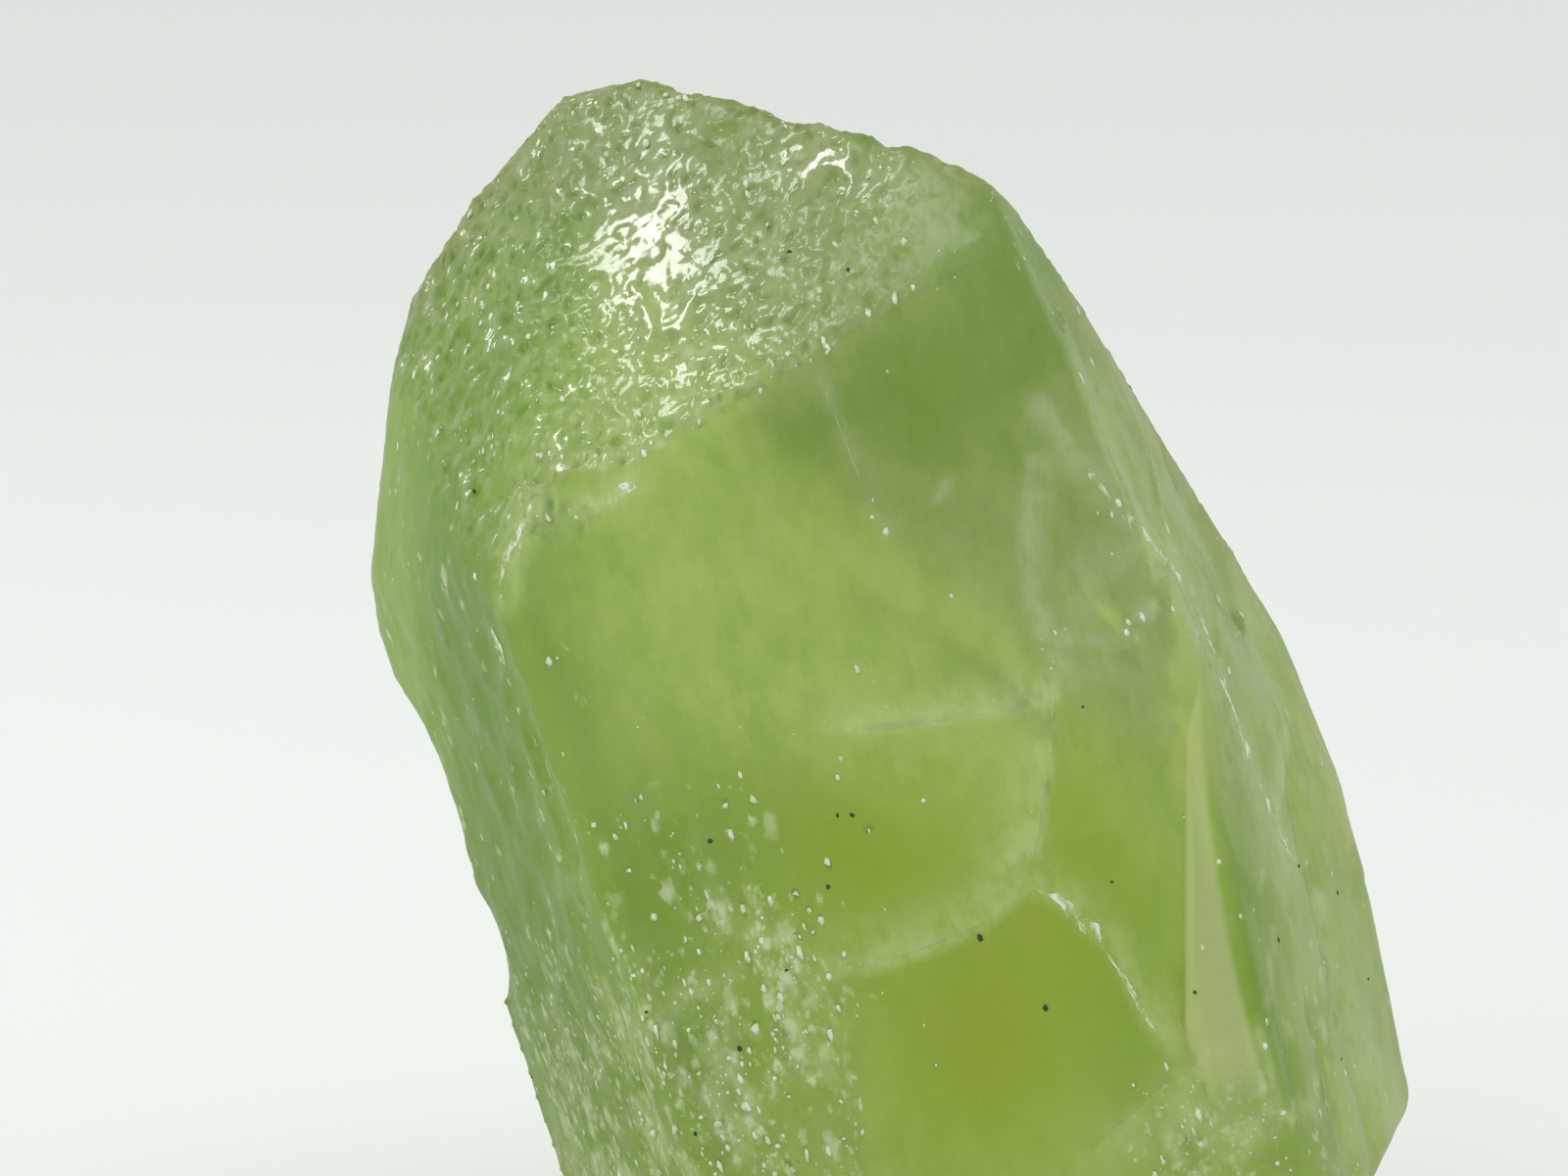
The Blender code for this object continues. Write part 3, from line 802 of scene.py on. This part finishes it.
def peridot_finish():
    """The crystal's green: see-through, absorbing, frosted in patches."""
    material, tree, output = new_material("peridot")
    shader = tree.nodes.new("ShaderNodeBsdfPrincipled")
    place = growth_place(tree)
    frosted, painted_shade_and_green_mask, glowing, veiled, etched, lined, bright, painted_crevice_shade, painted_edge_shade = (
        add_mask(tree, name)
        for name in ("frost", "painted_shade_and_green", "glow", "veil", "etched", "lined", "bright", "painted_crevice_shade", "painted_edge_shade")
    )
    cloud = add_group(tree, clouds, add_scale(tree, place, (0.9, 0.9, 0.6)), Low=0.38, High=0.68)
    streak = add_group(tree, clouds, add_scale(tree, place, (3.2, 3.2, 0.7)), Low=0.45, High=0.75)
    blotch = add_group(tree, clouds, add_scale(tree, place, (1.5, 1.5, 0.9)), Low=0.44, High=0.66)
    dark_crumb = add_group(tree, clouds, add_scale(tree, place, (3.6, 3.6, 2.4)), Low=0.42, High=0.32)
    feather = add_group(tree, clouds, add_scale(tree, place, (2.4, 2.4, 1.5)), Low=0.32, High=0.62)
    cluster = add_group(tree, clouds, add_scale(tree, place, (0.8, 0.8, 0.6)), Low=0.44, High=0.56)
    mottle = add_group(tree, clouds, add_scale(tree, place, (1.9, 1.9, 1.0)), Low=0.34, High=0.66)
    pale_side = add_math(tree, "MULTIPLY", add_mask(tree, "pale_side"), 0.5)
    patchy = add_group(tree, clouds, add_scale(tree, place, (0.95, 0.95, 0.5)), Low=0.42, High=0.60)
    grainy_zone = add_math(tree, "MAXIMUM", add_step(tree, frosted, 0.18, 0.85), add_math(tree, "MULTIPLY", lined, 0.05))
    smudge_share = add_math(tree, "MULTIPLY", grainy_zone, add_math(tree, "MULTIPLY_ADD", cluster, 0.90, 0.40))
    smudge = add_group(tree, flecks, add_scale(tree, place, (2.1, 2.1, 1.3)), Amount=smudge_share)
    small_smudge = add_group(tree, flecks, add_scale(tree, place, (3.8, 3.8, 2.4)), Amount=smudge_share)
    dot_share = add_math(tree, "MULTIPLY", grainy_zone, add_math(tree, "MULTIPLY_ADD", cluster, 0.60, 0.10))
    dot = add_group(tree, flecks, add_scale(tree, place, (6.5, 6.5, 4.4)), Amount=dot_share)
    pale_cell = add_group(tree, flecks, add_scale(tree, place, (2.4, 2.4, 1.5)), Amount=0.7)

    fine = add_group(tree, clouds, add_scale(tree, place, (4.6, 4.6, 3.0)), Low=0.36, High=0.64)
    uneven = add_math(tree, "MULTIPLY_ADD", mottle, 0.20, add_math(tree, "MULTIPLY", cloud, 0.28))
    uneven = add_math(tree, "MULTIPLY_ADD", fine, 0.10, uneven)
    colour = add_tint(tree, uneven, GREEN, DEEP_GREEN)
    colour = add_tint(tree, glowing, colour, WINDOW_GREEN)
    # the darker patches: in part painted shade, in part a deeper green
    colour = add_tint(tree, painted_shade_and_green_mask, colour, DEEP_GREEN)
    # painted shade: where the darker patches are strongest, down the left side, the colour darkens further
    painted_side_shade = add_step(tree, painted_shade_and_green_mask, 0.60, 1.0)
    colour = add_tint(tree, add_math(tree, "MULTIPLY", painted_side_shade, 0.6), colour, PAINTED_SHADE_GREEN)
    frost_share = add_math(tree, "MULTIPLY", frosted, add_math(tree, "MULTIPLY_ADD", blotch, 0.75, 0.35))
    colour = add_tint(tree, frost_share, colour, FROST_GREEN)
    colour = add_tint(tree, add_math(tree, "MULTIPLY", dark_crumb, add_math(tree, "MULTIPLY", grainy_zone, 0.6)), colour, DEEP_GREEN)
    patch_share = add_math(tree, "MULTIPLY", patchy, add_math(tree, "MULTIPLY_ADD", lined, 0.10, pale_side))
    patch_share = add_math(tree, "MULTIPLY", patch_share, add_math(tree, "MULTIPLY_ADD", painted_shade_and_green_mask, -0.8, 1.0))
    colour = add_tint(tree, patch_share, colour, FROST_WHITE)
    pale_haze = add_math(tree, "MULTIPLY", add_math(tree, "MULTIPLY", cluster, mottle), grainy_zone)
    colour = add_tint(tree, add_math(tree, "MULTIPLY", pale_haze, 0.6), colour, FROST_WHITE)
    haze = add_math(tree, "MAXIMUM", add_math(tree, "MULTIPLY", streak, 0.5), add_math(tree, "MULTIPLY", pale_cell, 0.8))
    etched_pale = add_math(tree, "MULTIPLY", etched, add_math(tree, "MULTIPLY_ADD", painted_shade_and_green_mask, -0.7, 1.0))
    colour = add_tint(tree, add_math(tree, "MULTIPLY", etched_pale, 0.45), colour, FROST_GREEN)
    colour = add_tint(tree, add_math(tree, "MULTIPLY", haze, etched_pale), colour, FROST_WHITE)
    colour = add_tint(tree, wedge_mask(tree), colour, WEDGE_GREEN)
    veil_share = add_math(tree, "MULTIPLY", veiled, add_math(tree, "MULTIPLY_ADD", feather, 0.7, 0.3))
    colour = add_tint(tree, veil_share, colour, VEIL_WHITE)
    # painted shade in the crevices
    colour = add_tint(tree, add_math(tree, "MULTIPLY", painted_crevice_shade, 0.8), colour, DEEP_GREEN)
    white = add_math(tree, "MAXIMUM", add_math(tree, "MULTIPLY", smudge, 0.85), add_math(tree, "MULTIPLY", dot, 1.0))
    white = add_math(tree, "MAXIMUM", white, add_math(tree, "MULTIPLY", small_smudge, 1.0))
    colour = add_tint(tree, white, colour, FLECK_WHITE)
    # painted shade: a dark outline on the rims seen edge-on
    colour = add_tint(tree, add_math(tree, "MULTIPLY", painted_edge_shade, 0.5), colour, PAINTED_SHADE_GREEN)

    rough = add_math(tree, "MULTIPLY_ADD", frosted, 0.20, 0.36)
    rough = add_math(tree, "MULTIPLY_ADD", etched, 0.10, rough)
    grain = tree.nodes.new("ShaderNodeTexNoise")
    grain.inputs["Scale"].default_value = 6.5
    grain.inputs["Detail"].default_value = 3
    tree.links.new(place, grain.inputs["Vector"])
    lines = tree.nodes.new("ShaderNodeTexNoise")
    lines.inputs["Scale"].default_value = 1
    lines.inputs["Detail"].default_value = 2
    tree.links.new(add_scale(tree, place, (5.5, 5.5, 0.35)), lines.inputs["Vector"])
    grainy = add_math(tree, "MULTIPLY", grain.outputs["Fac"], add_math(tree, "MULTIPLY_ADD", etched, 0.15, 0.12))
    lined_height = add_math(tree, "MULTIPLY", lines.outputs["Fac"], add_math(tree, "MULTIPLY_ADD", lined, 0.05, 0.04))
    bump = tree.nodes.new("ShaderNodeBump")
    bump.inputs["Strength"].default_value = 0.6
    bump.inputs["Distance"].default_value = 0.05 * MM
    tree.links.new(add_math(tree, "ADD", grainy, lined_height), bump.inputs["Height"])

    absorption = tree.nodes.new("ShaderNodeVolumeAbsorption")
    absorption.inputs["Color"].default_value = (*ABSORB_COLOUR, 1)
    absorption.inputs["Density"].default_value = ABSORB_DENSITY
    shader.inputs["Transmission Weight"].default_value = SEE_THROUGH
    shader.inputs["IOR"].default_value = PERIDOT_IOR
    shader.inputs["Specular IOR Level"].default_value = MIRROR_STRENGTH
    shader.inputs["Coat Roughness"].default_value = COAT_ROUGHNESS
    tree.links.new(add_math(tree, "MULTIPLY", bright, 0.95), shader.inputs["Coat Weight"])
    tree.links.new(colour, shader.inputs["Base Color"])
    tree.links.new(rough, shader.inputs["Roughness"])
    tree.links.new(bump.outputs["Normal"], shader.inputs["Normal"])
    tree.links.new(shader.outputs["BSDF"], output.inputs["Surface"])
    tree.links.new(absorption.outputs["Volume"], output.inputs["Volume"])
    return material


crystal = add_object("crystal", skin_mesh)
skin_mesh.materials.append(peridot_finish())
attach(crystal, "root")
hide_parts("peridot_crystal")
skin_mesh.calc_loop_triangles()
print("crystal of", len(skin_mesh.loop_triangles), "triangles")

# %% [markdown]
# Old cracks that have healed are thin pale sheets. Some only graze the skin and show as ragged white lines, others
# dive into the stone and show as soft veils. Each is a strip of a grid, laid along a path on the front face. The
# strip's edges are torn by noise, and a Solidify modifier gives it a closed body a few hundredths of a millimetre
# thick, because a single sheet with no inside would be a stray face.

# %% Healed cracks
CRACK_PALE = (0.72, 0.80, 0.52)
CRACK_WHITE = (0.84, 0.89, 0.74)
SHEET_THICK = 0.015
SHEET_LIFT = 0.004
CRACKS = {
    # name: (path as (x, z), width, dive into the stone, tear)
    "arc_upper": (((3.25, 12.2), (3.18, 11.2), (3.06, 10.2), (2.9, 9.3), (2.6, 8.4)), 0.10, 0.2, 0.8),
    "arc_lower": (((2.6, 8.4), (2.1, 7.8), (1.3, 7.4), (0.4, 7.05), (-0.6, 6.75)), 0.06, 0.15, 0.6),
    "white_crack_high": (((2.6, 8.45), (3.3, 8.1), (3.9, 7.6), (4.3, 7.1)), 0.22, 0.0, 1.6),
    "white_crack_low": (((4.2, 7.2), (4.6, 6.6), (4.95, 6.0), (5.3, 5.4)), 0.12, 0.0, 1.2),
    "edge_top": (((3.1, 17.7), (3.5, 17.2), (3.9, 16.6)), 0.45, 0.15, 1.3),
    "edge_upper": (((3.9, 16.6), (4.5, 15.9), (5.1, 15.2), (5.5, 14.7)), 0.16, 0.0, 1.3),
    "edge_lower": (((5.45, 14.8), (5.9, 14.1), (6.35, 13.0), (6.7, 12.0)), 0.12, 0.0, 1.0),
    "edge_foot": (((6.7, 12.1), (7.1, 10.9), (7.5, 9.8), (8.1, 8.5)), 0.10, 0.0, 1.3),
    "tall_veil": (((2.85, 16.8), (2.7, 15.8), (2.72, 14.8), (2.9, 13.8), (3.2, 12.7)), 0.16, 0.5, 0.9),
    "scallop_rim": (((3.5, 13.35), (3.9, 13.15), (4.4, 13.1), (4.9, 13.4), (5.2, 13.9)), 0.10, 0.2, 0.9),
    "flat_veil": (((-0.8, 11.45), (0.0, 11.55), (1.0, 11.7), (2.0, 11.85), (3.0, 12.05)), 0.14, 0.2, 1.0),
    "thin_diagonal": (((-1.35, 18.4), (-0.9, 17.3), (-0.5, 16.3), (-0.1, 15.5)), 0.05, 0.2, 0.5),
    "left_ledge": (((-7.0, 16.1), (-7.3, 15.5), (-7.6, 14.9), (-7.75, 14.2)), 0.13, 0.0, 1.0),
    "left_ledge_low": (((-7.95, 13.5), (-7.8, 13.1), (-7.66, 12.6)), 0.13, 0.0, 0.8),
    "bright_ledge": (((-5.9, 15.95), (-5.4, 16.15), (-4.95, 16.4)), 0.22, 0.0, 1.0),
    "foot_crack": (((4.4, 3.5), (5.0, 4.1), (5.8, 4.75), (6.4, 5.15)), 0.14, 0.5, 0.5),
}
STEPS_PER_MM = 14
STRIPS_ACROSS = 8


def smooth_path(corners, share):
    """A place on a smooth curve through some corners (Catmull-Rom), where share runs from 0 to 1."""
    spans = len(corners) - 1
    at = min(share * spans, spans - 1e-6)
    k = int(at)
    t = at - k
    a, b, c, d = (Vector(corners[min(max(j, 0), spans)]) for j in (k - 1, k, k + 1, k + 2))
    return 0.5 * (2 * b + (c - a) * t + (2 * a - 5 * b + 4 * c - d) * t * t + (3 * b - a - 3 * c + d) * t * t * t)


skin_tree = BVHTree.FromPolygons(
    [vert.co for vert in skin_mesh.vertices], [face.vertices for face in skin_mesh.polygons]
)


def on_skin(x, z):
    """The place and the outward direction of the skin behind a spot that is seen from the front, all in mm."""
    place, outward, _, _ = skin_tree.ray_cast(Vector((x * MM, -50 * MM, z * MM)), Vector((0, 1, 0)))
    return place / MM, outward


def torn_strip(name, corners, width, dive, tear, seed):
    """A strip along a path on the front face, torn at its edges, grazing the skin or diving into the stone."""
    length = sum((Vector(b) - Vector(a)).length for a, b in zip(corners, corners[1:]))
    steps = max(8, round(length * STEPS_PER_MM))
    strip = bmesh.new()
    bmesh.ops.create_grid(strip, x_segments=steps, y_segments=STRIPS_ACROSS, size=0.5)
    for vert in strip.verts:
        share, across = vert.co.x + 0.5, vert.co.y
        here = smooth_path(corners, share)
        ahead = smooth_path(corners, min(share + 0.01, 1)) - smooth_path(corners, max(share - 0.01, 0))
        sideways = Vector((-ahead.y, ahead.x)).normalized()
        taper = math.sin(math.pi * min(max(share, 0.02), 0.98)) ** 0.5
        torn = 1 + tear * noise.noise(Vector((share * length * 1.6, seed, 4 * (across > 0))))
        torn += tear * noise.noise(Vector((share * length * 6, seed + 9, 4 * (across > 0)))) * 0.7
        here = here + sideways * (across * width * taper * max(torn, 0.1))
        place, outward = on_skin(here.x, here.y)
        depth = dive * (across + 0.5) * taper
        vert.co = (place + outward * SHEET_LIFT - outward * depth) * MM
    bmesh.ops.recalc_face_normals(strip, faces=strip.faces)
    mesh = bpy.data.meshes.new(name)
    strip.to_mesh(mesh)
    strip.free()
    mesh.shade_smooth()
    sheet = add_object(name, mesh)
    body = sheet.modifiers.new("body", "SOLIDIFY")
    body.thickness = SHEET_THICK * MM
    body.offset = -1
    return sheet


def crack_finish(name, white, patches, solid):
    """Pale feathery crack filling that is solid in places and clear in others."""
    material, tree, output = new_material(name)
    shader = tree.nodes.new("ShaderNodeBsdfPrincipled")
    place = growth_place(tree)
    feather = add_group(tree, clouds, add_scale(tree, place, patches), Low=0.40, High=0.62)
    shader.inputs["Roughness"].default_value = 0.45
    tree.links.new(add_tint(tree, feather, GREEN, white), shader.inputs["Base Color"])
    tree.links.new(add_math(tree, "MULTIPLY", feather, solid), shader.inputs["Alpha"])
    tree.links.new(shader.outputs["BSDF"], output.inputs["Surface"])
    return material


line_finish = crack_finish("crack_line", CRACK_WHITE, (3.4, 3.4, 2.2), 0.8)
veil_finish = crack_finish("crack_veil", CRACK_PALE, (2.6, 2.6, 1.4), 0.4)
for seed, (name, (corners, width, dive, tear)) in enumerate(CRACKS.items()):
    sheet = torn_strip("crack_" + name, corners, width, dive, tear, seed * 3.1)
    sheet.data.materials.append(veil_finish if dive else line_finish)
    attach(sheet, "root")
print(len(CRACKS), "healed cracks")

# %% [markdown]
# White flecks are tiny broken places and fillings just under the skin. There are hundreds, so each one is
# a twenty-sided grain, stretched along the growth direction and half sunk. They sit where the frost is. The listed
# white dots among them are painted glints: white grains where highlights shine.

# %% White flecks and painted glints
FLECK_COUNT = 1700
FLECK_SEED = 7
FLECK_SMALL = 0.016
FLECK_LARGE = 0.085
FLECK_RARENESS = 2.5    # the higher, the fewer large ones


one_grain = bmesh.new()
bmesh.ops.create_icosphere(one_grain, subdivisions=1, radius=1)
grain_corners = [vert.co.copy() for vert in one_grain.verts]
grain_mesh = bpy.data.meshes.new("one_grain")


def add_grain(grains, place, outward, half_wide, half_long, sink, draw):
    """One twenty-sided grain, with its corners moved a little, half sunk into the skin. Sizes in mm."""
    along = (growth - outward * growth.dot(outward)).normalized()
    across = outward.cross(along)
    jitter = draw.uniform(0.55, 1.3, (len(grain_corners), 3))
    for vert, corner, share in zip(one_grain.verts, grain_corners, jitter):
        wide = across * (corner.x * share[0] * half_wide)
        long = along * (corner.y * share[1] * half_long)
        high = outward * (corner.z * share[2] * half_wide * 0.7)
        vert.co = (place - outward * (sink * half_wide) + wide + long + high) * MM
    one_grain.to_mesh(grain_mesh)
    grains.from_mesh(grain_mesh)


GRAIN_ASIDE = 0.12    # how far a grain may lie from its point of the net, so that no rows show, in mm
DOT_SHARE = 1.15
# painted glints: white grains put where highlights shine on pits and along the top's lower edge
PAINTED_GLINT_DOTS = (
    # (x, z, half width)
    (-3.25, 18.28, 0.11), (-1.28, 19.09, 0.09), (-2.03, 18.95, 0.07), (-0.44, 19.74, 0.08), (0.42, 20.26, 0.08),
    (-3.92, 17.92, 0.06), (-0.43, 9.48, 0.10), (-0.99, 10.90, 0.06), (-1.05, 10.51, 0.07), (-1.38, 7.70, 0.08),
    (-1.03, 5.95, 0.07), (-2.38, 8.08, 0.07), (-1.89, 8.22, 0.09), (-3.25, 9.98, 0.08), (-2.72, 10.08, 0.09),
    (-4.94, 10.15, 0.06), (-0.92, 7.02, 0.08), (-1.21, 6.58, 0.07), (-2.67, 5.56, 0.08), (6.17, 7.15, 0.05),
    (6.50, 8.88, 0.05), (6.92, 7.78, 0.07), (-5.50, 6.86, 0.05), (-0.37, 15.73, 0.05), (-0.10, 15.44, 0.07),
    (1.19, 14.17, 0.06), (-0.67, 12.68, 0.07),
)


def scatter(name, count, seed, weights, sink):
    """Small grains on the skin, at seeded points chosen by weight. Most are small and a few are large. The listed
    glint dots are added as white grains too: painted glints.
    """
    draw = np.random.default_rng(seed)
    grains = bmesh.new()
    for i in draw.choice(len(points), size=count, replace=False, p=weights / weights.sum()):
        half_wide = FLECK_SMALL + (FLECK_LARGE - FLECK_SMALL) * draw.random() ** FLECK_RARENESS
        half_long = half_wide * draw.uniform(0.9, 2.6)
        outward = Vector(facing[i])
        aside = Vector(draw.uniform(-GRAIN_ASIDE, GRAIN_ASIDE, 3))
        aside -= outward * aside.dot(outward)
        add_grain(grains, Vector(points[i]) + aside, outward, half_wide, half_long, sink, draw)
    for x, z, half_wide in PAINTED_GLINT_DOTS:
        half_wide *= DOT_SHARE
        add_grain(grains, *on_skin(x, z), half_wide, half_wide * draw.uniform(1.0, 1.8), sink, draw)
    bmesh.ops.recalc_face_normals(grains, faces=grains.faces)
    mesh = bpy.data.meshes.new(name)
    grains.to_mesh(mesh)
    grains.free()
    mesh.shade_smooth()
    thing = add_object(name, mesh)
    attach(thing, "root")
    return thing


clump = np.array([noise.noise(Vector(point) * 1.1) for point in points])
fleck_weights = (0.0015 + frost ** 3 + 0.10 * veil ** 4 + 0.12 * on_top * (1 - bright) + 0.02 * on_side) * off_foot
fleck_weights *= (ease(clump, -0.15, 0.45) + 0.08) * (0.3 + 2 * on_front)
flecks_and_painted_glints = scatter("flecks_and_painted_glints", FLECK_COUNT, FLECK_SEED, fleck_weights, 0.35)
print(FLECK_COUNT, "white flecks")


def fleck_and_painted_glint_finish():
    """Bright, slightly glassy white."""
    material, tree, output = new_material("fleck_and_painted_glint_white")
    shader = tree.nodes.new("ShaderNodeBsdfPrincipled")
    place = growth_place(tree)
    patch = add_group(tree, clouds, add_scale(tree, place, (3.0, 3.0, 3.0)), Low=0.38, High=0.60)
    shader.inputs["Roughness"].default_value = 0.3
    shader.inputs["Transmission Weight"].default_value = 0.25
    tree.links.new(add_tint(tree, patch, FROST_WHITE, FLECK_WHITE), shader.inputs["Base Color"])
    tree.links.new(shader.outputs["BSDF"], output.inputs["Surface"])
    return material


flecks_and_painted_glints.data.materials.append(fleck_and_painted_glint_finish())

# %% [markdown]
# The black specks are grains of another mineral, chromite, grown into the skin. The ones the picture shows are
# placed one by one, and a few more are scattered over the sides and the back.

# %% Black grains
BLACK_SPECKS = (
    (-8.31, 16.04), (-2.02, 20.84), (-0.85, 20.55), (3.79, 11.96), (4.38, 8.49), (3.07, 5.97), (8.20, 8.41),
    (7.74, 7.14), (9.06, 7.66), (9.72, 5.81), (9.09, 4.47), (6.04, 6.25), (-3.57, 9.27), (-1.05, 9.77),
    (-0.76, 9.77), (-4.84, 5.86), (-2.99, 5.14), (-3.87, 3.43), (-2.06, 6.71), (-1.24, 8.35), (1.77, 7.36),
)
SPECK_HALF = (0.035, 0.075)
SPECK_SEED = 19
MORE_SPECKS = 26


def black_grains():
    """Every black speck in one piece."""
    draw = np.random.default_rng(SPECK_SEED)
    grains = bmesh.new()
    for x, z in BLACK_SPECKS:
        place, outward = on_skin(x, z)
        half = draw.uniform(*SPECK_HALF)
        add_grain(grains, place, outward, half, half * draw.uniform(0.8, 1.4), 0.2, draw)
    away = np.clip(wide_facing[:, 1] + 0.4, 0, 1) * off_foot
    for i in draw.choice(len(points), size=MORE_SPECKS, replace=False, p=away / away.sum()):
        half = draw.uniform(*SPECK_HALF)
        add_grain(grains, Vector(points[i]), Vector(facing[i]), half, half * draw.uniform(0.8, 1.4), 0.2, draw)
    mesh = bpy.data.meshes.new("black_specks")
    grains.to_mesh(mesh)
    grains.free()
    return add_object("black_specks", mesh)


def chromite_finish():
    """Nearly black mineral with a dull metallic shine that varies."""
    material, tree, output = new_material("chromite")
    shader = tree.nodes.new("ShaderNodeBsdfPrincipled")
    place = growth_place(tree)
    patch = add_group(tree, clouds, add_scale(tree, place, (9.0, 9.0, 9.0)), Low=0.35, High=0.65)
    tree.links.new(add_tint(tree, patch, (0.010, 0.014, 0.006), (0.035, 0.045, 0.020)), shader.inputs["Base Color"])
    tree.links.new(add_math(tree, "MULTIPLY_ADD", patch, 0.3, 0.35), shader.inputs["Roughness"])
    tree.links.new(shader.outputs["BSDF"], output.inputs["Surface"])
    return material


specks = black_grains()
specks.data.materials.append(chromite_finish())
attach(specks, "root")
print(len(BLACK_SPECKS) + MORE_SPECKS, "black specks")
